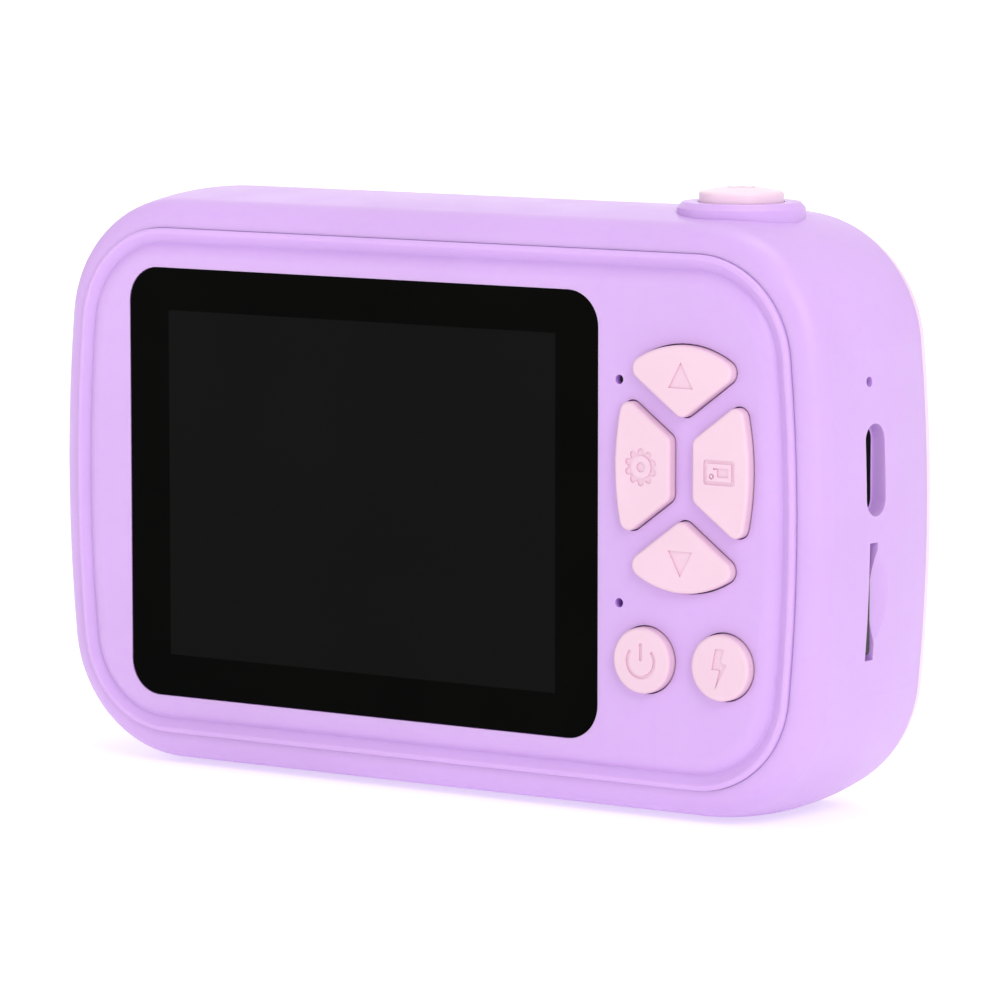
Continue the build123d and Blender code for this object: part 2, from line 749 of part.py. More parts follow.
# ---------------------------------------------------------------- display stack
with BuildPart() as display_glass:
    with BuildSketch(rear_plane(0)):
        with Locations((display_x, 0)):
            RectangleRounded(glass_w, glass_h, glass_corner_r)
    extrude(amount=-glass_t)
    fillet(display_glass.edges().group_by(Axis.Y)[0], 0.12)
finish(display_glass, "display_glass")

with BuildPart() as glass_adhesive:
    with BuildSketch(rear_plane(glass_t)):
        with Locations((display_x, 0)):
            RectangleRounded(glass_w - 1.2, glass_h - 1.2, glass_corner_r - 0.6)
            Rectangle(display_w + 2 * window_x_margin, display_h + 2 * window_z_margin,
                      mode=Mode.SUBTRACT)
    extrude(amount=-tape_t)
finish(glass_adhesive, "glass_adhesive")

with BuildPart() as lcd_panel:
    with BuildSketch(rear_plane(lcd_depth)):
        with Locations((display_x, 0)):
            Rectangle(display_w + 2.2, display_h + 2.2)
    extrude(amount=-lcd_glass_t)
finish(lcd_panel, "lcd_panel")

with BuildPart() as lcd_backlight:
    with BuildSketch(rear_plane(panel_t)):
        with Locations((lcd_x, 0)):
            RectangleRounded(lcd_w, lcd_h, 0.6)
    extrude(amount=-lcd_frame_t)
finish(lcd_backlight, "lcd_backlight")

flex_half_w, flex_depth, flex_end_depth = 7.0, 3.3, 6.8
flex_end_z = -19.5
lcd_flex = ribbon(
    side_plane(lcd_x - flex_half_w),
    [(flex_depth, -lcd_h / 2), (flex_depth, -22.8), (flex_end_depth, -22.8),
     (flex_end_depth, flex_end_z)],
    1.4,
    2 * flex_half_w,
)
with BuildPart() as display_flex:
    add(lcd_flex)
finish(display_flex, "display_flex")

# ---------------------------------------------------------------- main board
with BuildPart() as main_board:
    with BuildSketch(rear_plane(board_rear)):
        RectangleRounded(2 * board_half_w, 2 * board_half_h, board_corner_r)
        with Locations(*board_posts):
            Circle(0.95, mode=Mode.SUBTRACT)
    extrude(amount=-board_t)
finish(main_board, "main_board")

with BuildPart() as key_switches:
    switch_points = [key[-1] for key in keys]
    with BuildSketch(rear_plane(board_rear)):
        with Locations(*switch_points):
            RectangleRounded(switch_size, switch_size, 0.4)
    extrude(amount=switch_h)
    with BuildSketch(rear_plane(board_rear - switch_h)):
        with Locations(*switch_points):
            Circle(plunger_r + running_gap)
    extrude(amount=-1.5, mode=Mode.SUBTRACT)
finish(key_switches, "key_switches")

connector_h = 2.4
camera_connector_z, camera_connector_h = 16.8, 1.4
with BuildPart() as board_connectors:
    # Display connector, on the rear side
    with BuildSketch(rear_plane(board_rear)):
        with Locations((lcd_x, flex_end_z + 1.5)):
            Rectangle(2 * flex_half_w + 2, 3)
    extrude(amount=1.2)
    # Battery, speaker and flash connectors, on the front side
    with BuildSketch(rear_plane(board_front)):
        with Locations((-9.5, 21.5), (18.0, -20.5), (20.0, 1.0)):
            Rectangle(6.4, 5)
    extrude(amount=-connector_h)
    # Camera connector, on the front side
    with BuildSketch(rear_plane(board_front)):
        with Locations((0, camera_connector_z)):
            Rectangle(10, 2.6)
    extrude(amount=-camera_connector_h)
finish(board_connectors, "board_connectors")

with BuildPart() as processor_chip:
    with BuildSketch(rear_plane(board_front)):
        with Locations((-3.0, -4.0)):
            RectangleRounded(10, 10, 0.3)
    extrude(amount=-1.1)
finish(processor_chip, "processor_chip")

with BuildPart() as board_components:
    # Memory chip, coil, crystal and a row of capacitors
    with BuildSketch(rear_plane(board_front)):
        with Locations((-4.0, -14.5)):
            Rectangle(8, 6)
        with Locations((6.5, 11.0)):
            RectangleRounded(4, 4, 0.8)
        with Locations((-3.0, 6.5)):
            Rectangle(3.2, 2.5)
        with Locations((11.0, -14.0)):
            with GridLocations(2.6, 2.2, 3, 2):
                Rectangle(1.6, 0.8)
    extrude(amount=-0.9)
finish(board_components, "board_components")

# ---------------------------------------------------------------- status light and microphone
with BuildPart() as status_led:
    with BuildSketch(rear_plane(board_rear)):
        with Locations((led_x, led_z)):
            Rectangle(1.6, 0.9)
    extrude(amount=0.7)
finish(status_led, "status_led")

with BuildPart() as status_light_pipe:
    with BuildSketch(rear_plane(0.8)):
        with Locations((led_x, led_z)):
            Circle(pinhole_r - 0.05)
    extrude(amount=-(board_rear - 0.8 - 0.8))
    with BuildSketch(rear_plane(panel_t)):
        with Locations((led_x, led_z)):
            Circle(0.85)
    extrude(amount=-0.6)
finish(status_light_pipe, "status_light_pipe")

with BuildPart() as microphone:
    with BuildSketch(rear_plane(board_rear)):
        with Locations((mic_x, mic_z)):
            Rectangle(2.6, 3.4)
    extrude(amount=1.0)
finish(microphone, "microphone")

with BuildPart() as microphone_boot:
    with BuildSketch(rear_plane(panel_t)):
        with Locations((mic_x, mic_z)):
            Circle(1.25)
            Circle(0.45, mode=Mode.SUBTRACT)
    extrude(amount=-(board_rear - 1.0 - panel_t))
finish(microphone_boot, "microphone_boot")

# ---------------------------------------------------------------- USB-C inlet
usb_mouth_x, usb_len, usb_skin = 46.1, 7.3, 0.3
usb_shell_h, usb_shell_w = 8.94, 3.2
with BuildPart() as usb_c_shell:
    with BuildSketch(side_plane(usb_mouth_x - usb_len)):
        with Locations((usb_depth, usb_z)):
            SlotOverall(usb_shell_h, usb_shell_w, rotation=90)
    extrude(amount=usb_len)
    with BuildSketch(side_plane(usb_mouth_x)):
        with Locations((usb_depth, usb_z)):
            SlotOverall(usb_shell_h - 2 * usb_skin, usb_shell_w - 2 * usb_skin, rotation=90)
    extrude(amount=-(usb_len - 0.4), mode=Mode.SUBTRACT)
finish(usb_c_shell, "usb_c_shell")

with BuildPart() as usb_c_tongue:
    with BuildSketch(side_plane(usb_mouth_x - usb_len + 0.4)):
        with Locations((usb_depth, usb_z)):
            SlotOverall(usb_shell_h - 2 * usb_skin, usb_shell_w - 2 * usb_skin, rotation=90)
    extrude(amount=1.4)
    with BuildSketch(side_plane(usb_mouth_x - usb_len + 1.8)):
        with Locations((usb_depth, usb_z)):
            Rectangle(0.7, 6.7)
    extrude(amount=4.4)
finish(usb_c_tongue, "usb_c_tongue")

# ---------------------------------------------------------------- memory card and its socket
socket_back_x, socket_mouth_x = 30.4, 45.6
with BuildPart() as card_socket:
    with BuildSketch(rear_plane(board_front)):
        with Locations(((socket_back_x + socket_mouth_x) / 2, card_z)):
            Rectangle(socket_mouth_x - socket_back_x, 13.6)
    extrude(amount=-2.0)
    with BuildSketch(side_plane(socket_mouth_x)):
        with Locations((card_slot_depth, card_z)):
            Rectangle(card_t + 0.2, card_h + 0.3)
    extrude(amount=-(socket_mouth_x - card_end_x + card_len + card_push + 0.1),
            mode=Mode.SUBTRACT)
finish(card_socket, "card_socket")

with BuildPart() as memory_card:
    with BuildSketch(rear_plane(card_slot_depth - card_t / 2)):
        with Locations((card_end_x - card_len / 2, card_z)):
            Rectangle(card_len, card_h)
    extrude(amount=-card_t)
    fillet(memory_card.edges().filter_by(Axis.Y), 0.6)
finish(memory_card, "memory_card")

# ---------------------------------------------------------------- reset switch
reset_face_x, reset_plunger_r = 43.6, 0.5
with BuildPart() as reset_switch:
    with BuildSketch(rear_plane(board_front)):
        with Locations((reset_face_x - 1.7, reset_z)):
            Rectangle(3.4, 4.4)
    extrude(amount=-2.4)
    with BuildSketch(side_plane(reset_face_x)):
        with Locations((reset_depth, reset_z)):
            Circle(reset_plunger_r + running_gap)
    extrude(amount=-1.8, mode=Mode.SUBTRACT)
finish(reset_switch, "reset_switch")

with BuildPart() as reset_plunger:
    with BuildSketch(side_plane(reset_face_x - 1.4)):
        with Locations((reset_depth, reset_z)):
            Circle(reset_plunger_r)
    extrude(amount=2.6)
finish(reset_plunger, "reset_plunger")

# ---------------------------------------------------------------- shutter
collar_top = seam_half_h + body_grow + collar_rise
cap_top, stem_end = collar_top + cap_proud, 27.4
stem_r, barb_r = 1.6, 2.05
crown_r = (cap_r**2 + crown_rise**2) / (2 * crown_rise)
shutter_plane = Plane(origin=at(shutter_x, shutter_depth, 0), x_dir=(1, 0, 0), z_dir=(0, -1, 0))
with BuildPart() as shutter_button:
    with BuildSketch(shutter_plane) as cap_section:
        with BuildLine():
            Polyline(
                (0, cap_top + crown_rise), (cap_r, cap_top + crown_rise), (cap_r, 30.9),
                (stem_r, 30.9), (stem_r, 28.6), (barb_r, 28.6), (stem_r, 27.8),
                (stem_r, stem_end), (0, stem_end), close=True,
            )
        make_face()
        with Locations((0, cap_top + crown_rise - crown_r)):
            Circle(crown_r, mode=Mode.INTERSECT)
        rim = cap_section.vertices().sort_by(Axis.Y).filter_by(lambda v: abs(v.X - cap_r) < 0.01)
        fillet(rim[-1], cap_edge_r)
    revolve(axis=Axis(at(shutter_x, shutter_depth, 0), (0, 0, 1)))
    with BuildSketch(level_plane(cap_top + crown_rise)):
        with Locations((shutter_x, shutter_depth)):
            Circle(1.5)
            Circle(1.15, mode=Mode.SUBTRACT)
            Circle(0.5)
    extrude(amount=-(icon_depth + 0.02), mode=Mode.SUBTRACT)
finish(shutter_button, "shutter_button")

shutter_base_top, shutter_base_h = 26.2, 3.2
with BuildPart() as shutter_switch:
    with BuildSketch(rear_plane(board_front)):
        with Locations((shutter_x, shutter_base_top - shutter_base_h / 2)):
            Rectangle(6, shutter_base_h)
    extrude(amount=-5.2)
    with BuildSketch(level_plane(shutter_base_top)):
        with Locations((shutter_x, shutter_depth)):
            Circle(plunger_r + running_gap)
    extrude(amount=-1.8, mode=Mode.SUBTRACT)
finish(shutter_switch, "shutter_switch")

with BuildPart() as shutter_plunger:
    with BuildSketch(level_plane(stem_end)):
        with Locations((shutter_x, shutter_depth)):
            Circle(plunger_r)
    extrude(amount=-2.2)
finish(shutter_plunger, "shutter_plunger")

# ---------------------------------------------------------------- battery
battery_x, battery_w, battery_h, battery_t = -28.0, 28.0, 36.0, 6.0
pad_t = 0.8
with BuildPart() as battery_pad:
    with BuildSketch(rear_plane(board_front)):
        with Locations((battery_x, 0)):
            Rectangle(battery_w - 6, battery_h - 6)
    extrude(amount=-pad_t)
finish(battery_pad, "battery_pad")

with BuildPart() as battery:
    with BuildSketch(rear_plane(board_front + pad_t)):
        with Locations((battery_x, 0)):
            RectangleRounded(battery_w, battery_h, 1.5)
    extrude(amount=-battery_t)
    fillet(battery.edges().filter_by(Axis.Z), 1.2)
finish(battery, "battery")

# ---------------------------------------------------------------- speaker
speaker_back, speaker_face = body_depth - 6.4, body_depth - 2.2
with BuildPart() as speaker:
    with BuildSketch(rear_plane(speaker_face)):
        with Locations((speaker_x, speaker_z)):
            Circle(speaker_r)
    extrude(amount=2.4)
    with BuildSketch(rear_plane(speaker_back)):
        with Locations((speaker_x, speaker_z)):
            Circle(6.0)
    extrude(amount=-(speaker_face - speaker_back - 2.4))
    with BuildSketch(rear_plane(speaker_face)):
        with Locations((speaker_x, speaker_z)):
            Circle(6.4)
            Circle(2.6, mode=Mode.SUBTRACT)
    extrude(amount=0.5, mode=Mode.SUBTRACT)
finish(speaker, "speaker")

with BuildPart() as speaker_gasket:
    with BuildSketch(rear_plane(speaker_face)):
        with Locations((speaker_x, speaker_z)):
            Circle(speaker_r)
            Circle(6.6, mode=Mode.SUBTRACT)
    extrude(amount=-(cover_inner_depth - speaker_face))
finish(speaker_gasket, "speaker_gasket")

# ---------------------------------------------------------------- leads and camera flex
lead_depth = board_front + 1.4
lead_sets = {
    "battery_leads": [
        ([at(-24, lead_depth, 18), at(-24, lead_depth, 22.7), at(-12.7, lead_depth, 22.7)], 4.0),
        ([at(-21.5, lead_depth, 18), at(-21.5, lead_depth, 20.5), at(-12.7, lead_depth, 20.5)], 2.2),
    ],
    "speaker_leads": [
        ([at(x, speaker_face - 2.4, z), at(x, lead_depth, z), at(x, lead_depth, -18)], 4.4)
        for x, z in ((16.9, -13), (19.1, -8))
    ],
    "flash_leads": [
        ([at(x, flash_board_depth, 11.5), at(x, lead_depth, 11.5), at(x, lead_depth, 3.5)], 6.0)
        for x in (18.9, 21.1)
    ],
}
for name, routes in lead_sets.items():
    with BuildPart() as leads:
        for points, bend_r in routes:
            add(lead(points, bend_r))
    finish(leads, name)

flex_start_depth = sensor_depth + sensor_t / 2
with BuildPart() as camera_flex:
    add(ribbon(
        side_plane(-4.0),
        [(flex_start_depth, lens_z + 12.5), (flex_start_depth, camera_connector_z),
         (board_front + camera_connector_h, camera_connector_z)],
        2.2,
        8.0,
    ))
finish(camera_flex, "camera_flex")

# ---------------------------------------------------------------- screws
def screws(points, head_depth, shank_len, head_r=1.5, head_h=0.9, shank_r=0.62):
    """A group of cross-head screws, driven from the front into `head_depth`."""
    with BuildPart() as group:
        with BuildSketch(rear_plane(head_depth)):
            with Locations(*points):
                Circle(head_r)
        extrude(amount=-head_h)
        with BuildSketch(rear_plane(head_depth)):
            with Locations(*points):
                Circle(shank_r)
        extrude(amount=shank_len)
        with BuildSketch(rear_plane(head_depth + head_h)):
            with Locations(*points):
                Rectangle(1.7, 0.4)
                Rectangle(0.4, 1.7)
        extrude(amount=0.4, mode=Mode.SUBTRACT)
    return group


finish(screws(lug_points, ledge_front, 2.7), "cover_screws")
finish(screws(board_posts, board_front, 3.2), "board_screws")
with BuildPart() as sensor_screws:
    with BuildSketch(rear_plane(sensor_depth)):
        with Locations(*sensor_posts):
            Circle(1.5)
    extrude(amount=0.9)
    with BuildSketch(rear_plane(sensor_depth)):
        with Locations(*sensor_posts):
            Circle(0.62)
    extrude(amount=-3.6)
finish(sensor_screws, "sensor_screws")
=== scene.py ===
"""Looks of the kids digital camera: a procedural material for every piece, studio light and camera."""
import json
import math

import bpy
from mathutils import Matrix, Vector


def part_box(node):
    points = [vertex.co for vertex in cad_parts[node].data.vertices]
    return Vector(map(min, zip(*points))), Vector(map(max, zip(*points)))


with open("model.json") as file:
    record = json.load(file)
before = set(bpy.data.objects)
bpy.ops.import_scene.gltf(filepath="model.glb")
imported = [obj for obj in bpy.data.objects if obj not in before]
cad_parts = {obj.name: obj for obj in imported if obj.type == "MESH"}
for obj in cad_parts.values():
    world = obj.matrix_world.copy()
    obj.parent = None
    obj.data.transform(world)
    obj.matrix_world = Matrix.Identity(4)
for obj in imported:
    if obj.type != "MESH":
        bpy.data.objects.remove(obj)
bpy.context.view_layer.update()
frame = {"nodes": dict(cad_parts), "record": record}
nodes = frame["nodes"]

MM = 0.001

# Colours, linear; the deep ones are painted shade for grooves and recessed icons, and the deep lilac also
# colours the specks
LILAC = (0.620, 0.395, 0.775)
LILAC_SHADE_AND_SPECK = (0.530, 0.275, 0.775)
# Painted shade inside the USB-C opening
PORT_SHADE_BLACK = (0.012, 0.010, 0.012)
LILAC_GLOSS = (0.560, 0.290, 0.800)
PALE_PINK = (0.860, 0.640, 0.850)
KEY_PINK = (0.770, 0.540, 0.655)
KEY_PINK_SHADE = (0.740, 0.440, 0.590)
SHUTTER_PINK = (0.860, 0.640, 0.760)
# Painted shade for the steel inside the USB-C port and card slot
SHADED_PORT_STEEL = (0.060, 0.055, 0.060)
BORDER_BLACK, BORDER_BLACK_SOFT = (0.0011, 0.0010, 0.0009), (0.0017, 0.0016, 0.0014)
DISPLAY_GREY, DISPLAY_GREY_SOFT = (0.0048, 0.0048, 0.0049), (0.0054, 0.0054, 0.0055)
BAFFLE_LOW, BAFFLE_HIGH = (0.004, 0.004, 0.005), (0.010, 0.010, 0.012)
COATING_BLUE, COATING_VIOLET = (0.010, 0.012, 0.035), (0.030, 0.016, 0.060)
MASK_GREEN_DARK, MASK_GREEN = (0.010, 0.110, 0.045), (0.018, 0.165, 0.070)
FLOOR_GREY, FLOOR_GREY_LIGHT = (0.70, 0.70, 0.70), (0.72, 0.72, 0.72)

# Lit area of the display behind the glass, width and height
DISPLAY_W, DISPLAY_H = 48.96 * MM, 36.72 * MM

# Lilac shells: roughness, light carried inside the plastic, and the widest groove that gets painted shade
LILAC_ROUGHNESS, LILAC_SUBSURFACE, GROOVE_REACH = 0.42, 0.4, 1.3 * MM
SUBSURFACE_DEPTH, SUBSURFACE_TINT = 1.2 * MM, (1.0, 0.7, 1.0)

# Lip in front of the USB-C shell's mouth that keeps the housing's lilac; behind it the housing is painted
# black as shade
THROAT_LIP, THROAT_INSET_Y, THROAT_INSET_Z = 0.97, 0.2, 0.1

# Camera: its place from the middle of the display glass, its direction and its long lens
CAMERA_FROM_DISPLAY = Vector((0.33721, -0.47369, 0.06892))
CAMERA_AZIMUTH, CAMERA_ELEVATION = math.radians(33.995), math.radians(6.784)
LENS_MM, SENSOR_MM = 203.3, 36.0


# Material building blocks

class Shader:
    """A node material with one Principled shader, and short ways to feed it."""

    def __init__(self, name):
        self.material = bpy.data.materials.new(name)
        self.material.use_nodes = True
        self.tree = self.material.node_tree
        self.main = self.tree.nodes["Principled BSDF"]
        self.place = self.node("ShaderNodeTexCoord").outputs["Object"]

    def node(self, kind, **settings):
        made = self.tree.nodes.new(kind)
        for key, value in settings.items():
            setattr(made, key, value)
        return made

    def link(self, source, target):
        self.tree.links.new(source, target)

    def set(self, **values):
        for key, value in values.items():
            self.main.inputs[key.replace("_", " ")].default_value = value

    def noise(self, size, detail=2.0, roughness=0.5, stretch=(1, 1, 1)):
        """Noise whose grains are about `size` metres across."""
        mapping = self.node("ShaderNodeMapping")
        mapping.inputs["Scale"].default_value = stretch
        self.link(self.place, mapping.inputs["Vector"])
        texture = self.node("ShaderNodeTexNoise")
        texture.inputs["Scale"].default_value = 1 / size
        texture.inputs["Detail"].default_value = detail
        texture.inputs["Roughness"].default_value = roughness
        self.link(mapping.outputs["Vector"], texture.inputs["Vector"])
        return texture.outputs["Fac"]

    def ramp(self, source, low, high, start=0.0, end=1.0):
        """`low` to `high` as the source goes from `start` to `end`; for colours or single numbers."""
        made = self.node("ShaderNodeMapRange" if isinstance(low, float) else "ShaderNodeValToRGB")
        if isinstance(low, float):
            made.inputs["From Min"].default_value = start
            made.inputs["From Max"].default_value = end
            made.inputs["To Min"].default_value = low
            made.inputs["To Max"].default_value = high
            self.link(source, made.inputs["Value"])
            return made.outputs["Result"]
        stops = made.color_ramp.elements
        stops[0].position, stops[1].position = start, end
        stops[0].color, stops[1].color = (*low, 1), (*high, 1)
        self.link(source, made.inputs["Fac"])
        return made.outputs["Color"]

    def mix(self, factor, first, second):
        """`first` where the factor is 0 and `second` where it is 1."""
        made = self.node("ShaderNodeMix", data_type="RGBA")
        self.link(factor, made.inputs["Factor"])
        for value, socket in ((first, made.inputs["A"]), (second, made.inputs["B"])):
            if isinstance(value, tuple):
                socket.default_value = (*value, 1)
            else:
                self.link(value, socket)
        return made.outputs["Result"]

    def math(self, operation, first, second=0.0):
        """A math node on two values or sockets; ABSOLUTE, SINE and SQRT use only the first."""
        made = self.node("ShaderNodeMath", operation=operation)
        for value, socket in zip((first, second), made.inputs):
            if isinstance(value, float):
                socket.default_value = value
            else:
                self.link(value, socket)
        return made.outputs["Value"]

    def hollows(self, reach):
        """1 in the open, falling to 0 deep in grooves and gaps no wider than about `reach` metres."""
        made = self.node("ShaderNodeAmbientOcclusion", samples=6)
        made.inputs["Distance"].default_value = reach
        return made.outputs["AO"]

    def within(self, low, high):
        """1 inside the box from `low` to `high`, 0 outside it, with a thin blend between them."""
        edge = 0.01 * MM
        mask = 1.0
        for name, least, most in zip("XYZ", low, high):
            above = self.ramp(self.axis(name), 0.0, 1.0, least - edge, least)
            below = self.ramp(self.axis(name), 1.0, 0.0, most, most + edge)
            mask = self.math("MULTIPLY", mask, self.math("MULTIPLY", above, below))
        return mask

    def axis(self, name):
        """The object's own X, Y or Z at the shaded point, in metres."""
        made = self.node("ShaderNodeSeparateXYZ")
        self.link(self.place, made.inputs["Vector"])
        return made.outputs[name]

    def bump(self, heights):
        """Bump from (height, depth in metres) pairs, one on top of the other."""
        normal = None
        for height, depth in heights:
            made = self.node("ShaderNodeBump")
            made.inputs["Strength"].default_value = 1.0
            made.inputs["Distance"].default_value = depth
            self.link(height, made.inputs["Height"])
            if normal is not None:
                self.link(normal, made.inputs["Normal"])
            normal = made.outputs["Normal"]
        self.link(normal, self.main.inputs["Normal"])


def shade_of(colour, share):
    """The colour made darker, or lighter above 1."""
    return tuple(c * share for c in colour)


def moulded(name, colour, roughness=0.38, depth=0.000004, deep=None, coat=0.0, subsurface=0.0, throat=None):
    """Injection-moulded plastic: a faint flow mottle, a fine etched grain and a few handling marks.

    The deep colour is painted shade in grooves, found by ambient occlusion, and also colours the specks;
    `throat` is a box, (low, high), whose inside is painted black as shade.
    """
    s = Shader(name)
    grain = 0.35 * MM
    mottle = s.noise(0.02, detail=3.0)
    body = s.ramp(mottle, shade_of(colour, 0.975), shade_of(colour, 1.015), 0.35, 0.65)
    speck = s.noise(grain * 3, detail=4.0)
    body = s.mix(s.ramp(speck, 0.0, 0.10, 0.52, 0.75), body, deep or shade_of(colour, 0.8))
    # Painted shade: the deep colour fills grooves and gaps, found by ambient occlusion
    if deep:
        body = s.mix(s.ramp(s.hollows(GROOVE_REACH), 0.0, 1.0, 0.05, 0.65), deep, body)
    # Painted shade: black inside the throat box
    if throat:
        body = s.mix(s.within(*throat), body, PORT_SHADE_BLACK)
    s.link(body, s.main.inputs["Base Color"])
    marks = s.noise(0.006, detail=6.0, roughness=0.65)
    s.link(s.ramp(marks, roughness - 0.05, roughness + 0.07, 0.3, 0.7), s.main.inputs["Roughness"])
    s.bump([(s.noise(grain, detail=3.0), depth), (s.noise(0.012, detail=1.0), depth * 6)])
    s.set(Specular_IOR_Level=0.5, Coat_Weight=coat, Coat_Roughness=0.2, Subsurface_Weight=subsurface)
    s.set(Subsurface_Radius=SUBSURFACE_TINT, Subsurface_Scale=SUBSURFACE_DEPTH)
    return s.material


def key_plastic(name, colour, deep, face_y):
    """Key plastic with painted shade: a deeper colour on the recessed icon's upright walls and floor."""
    s = Shader(name)
    normal = s.node("ShaderNodeSeparateXYZ")
    s.link(s.node("ShaderNodeTexCoord").outputs["Normal"], normal.inputs["Vector"])
    icon_rim, icon_floor = 0.11 * MM, 0.14 * MM
    near_start, near_end = 0.16 * MM, 0.30 * MM
    upright = s.ramp(s.math("ABSOLUTE", normal.outputs["Y"]), 1.0, 0.0, 0.2, 0.5)
    floor = s.ramp(s.axis("Y"), 0.0, 0.22, face_y + icon_rim, face_y + icon_floor)
    near_face = s.ramp(s.axis("Y"), 1.0, 0.25, face_y + near_start, face_y + near_end)
    # Painted shade: the deeper colour on upright walls and the icon floor, strongest near the key face
    icon_shade = s.math("MULTIPLY", s.math("MAXIMUM", upright, floor), near_face)
    mottle = s.ramp(s.noise(0.006, detail=3.0), shade_of(colour, 0.985), shade_of(colour, 1.012), 0.35, 0.65)
    s.link(s.mix(icon_shade, mottle, deep), s.main.inputs["Base Color"])
    marks = s.noise(0.004, detail=6.0)
    s.link(s.ramp(marks, 0.36, 0.46, 0.3, 0.7), s.main.inputs["Roughness"])
    s.bump([(s.noise(0.0003, detail=3.0), 0.000003)])
    s.set(Specular_IOR_Level=0.45)
    return s.material


def printed_glass(name):
    """Cover lens: a black printed border round the slightly lighter unlit display."""
    s = Shader(name)
    low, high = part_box("display_glass")
    centre_x, centre_z = (low.x + high.x) / 2, (low.z + high.z) / 2
    half_w, half_h = DISPLAY_W / 2, DISPLAY_H / 2
    edge = 0.05 * MM
    off_x = s.math("ABSOLUTE", s.math("SUBTRACT", s.axis("X"), centre_x))
    off_z = s.math("ABSOLUTE", s.math("SUBTRACT", s.axis("Z"), centre_z))
    in_x = s.ramp(off_x, 1.0, 0.0, half_w - edge, half_w + edge)
    in_z = s.ramp(off_z, 1.0, 0.0, half_h - edge, half_h + edge)
    lit = s.math("MULTIPLY", in_x, in_z)
    border = s.ramp(s.noise(0.01), BORDER_BLACK, BORDER_BLACK_SOFT, 0.3, 0.7)
    display = s.ramp(s.noise(0.02), DISPLAY_GREY, DISPLAY_GREY_SOFT, 0.3, 0.7)
    s.link(s.mix(lit, border, display), s.main.inputs["Base Color"])
    smears = s.noise(0.009, detail=5.0, stretch=(1, 1, 0.4))
    s.link(s.ramp(smears, 0.09, 0.15, 0.35, 0.7), s.main.inputs["Roughness"])
    s.bump([(s.noise(0.03, detail=1.0), 0.000004)])
    s.set(Specular_IOR_Level=0.018)
    return s.material


def metal(name, colour, roughness=0.3, stretch=(1, 1, 12)):
    """Rolled sheet metal with a directional brush and small blotches."""
    s = Shader(name)
    brush = s.noise(0.0009, detail=5.0, stretch=stretch)
    s.link(s.ramp(brush, shade_of(colour, 0.86), colour, 0.3, 0.7), s.main.inputs["Base Color"])
    s.link(s.ramp(brush, roughness - 0.06, roughness + 0.12, 0.3, 0.7), s.main.inputs["Roughness"])
    s.bump([(brush, 0.000003)])
    s.set(Metallic=1.0)
    return s.material


def clear(name, tint):
    """Clear moulded window with faint wipe marks."""
    s = Shader(name)
    roughness, wiped_roughness = 0.005, 0.03
    s.link(s.ramp(s.noise(0.01), shade_of(tint, 0.97), tint, 0.3, 0.7), s.main.inputs["Base Color"])
    wipes = s.noise(0.005, detail=5.0)
    s.link(s.ramp(wipes, roughness, wiped_roughness, 0.4, 0.7), s.main.inputs["Roughness"])
    s.bump([(s.noise(0.02, detail=1.0), 0.000002)])
    s.set(Transmission_Weight=1.0, IOR=1.49, Specular_IOR_Level=0.3)
    return s.material


def lens_bezel_plastic(name):
    """Black light baffle with fine concentric grooves about the lens axis."""
    s = Shader(name)
    low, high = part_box("lens_bezel")
    off_x = s.math("SUBTRACT", s.axis("X"), (low.x + high.x) / 2)
    off_z = s.math("SUBTRACT", s.axis("Z"), (low.z + high.z) / 2)
    squares = (s.math("MULTIPLY", off_x, off_x), s.math("MULTIPLY", off_z, off_z))
    radius = s.math("SQRT", s.math("ADD", *squares))
    groove_pitch = 0.45 * MM
    rings = s.math("SINE", s.math("MULTIPLY", radius, 2 * math.pi / groove_pitch))
    s.link(s.ramp(rings, BAFFLE_LOW, BAFFLE_HIGH), s.main.inputs["Base Color"])
    s.link(s.ramp(s.noise(0.002), 0.42, 0.55, 0.3, 0.7), s.main.inputs["Roughness"])
    s.bump([(rings, 0.04 * MM), (s.noise(0.0003), 0.000004)])
    s.set(Specular_IOR_Level=0.35)
    return s.material


def coated_lens(name):
    """Lens element with a dark blue-violet coating and a faint polish mark."""
    s = Shader(name)
    coating = s.ramp(s.noise(0.004), COATING_BLUE, COATING_VIOLET, 0.35, 0.65)
    s.link(coating, s.main.inputs["Base Color"])
    s.link(s.ramp(s.noise(0.003, detail=4.0), 0.03, 0.07, 0.4, 0.7), s.main.inputs["Roughness"])
    s.bump([(s.noise(0.01, detail=1.0), 0.000002)])
    s.set(Specular_IOR_Level=0.8, Coat_Weight=0.6, Coat_Roughness=0.02)
    return s.material


def board(name):
    """Solder mask over tracks: a weave under green lacquer."""
    s = Shader(name)
    weave = s.noise(0.0012, detail=2.0, stretch=(1, 1, 4))
    s.link(s.ramp(weave, MASK_GREEN_DARK, MASK_GREEN, 0.4, 0.6), s.main.inputs["Base Color"])
    s.link(s.ramp(s.noise(0.004), 0.25, 0.36, 0.3, 0.7), s.main.inputs["Roughness"])
    s.bump([(weave, 0.000008)])
    return s.material


def rubber(name, colour):
    """Matt foam rubber with open pores."""
    s = Shader(name)
    pores = s.noise(0.0003, detail=4.0)
    s.link(s.ramp(pores, shade_of(colour, 0.75), colour, 0.35, 0.65), s.main.inputs["Base Color"])
    s.link(s.ramp(pores, 0.75, 0.9, 0.3, 0.7), s.main.inputs["Roughness"])
    s.bump([(pores, 0.00001)])
    return s.material


# Materials of the record's slots

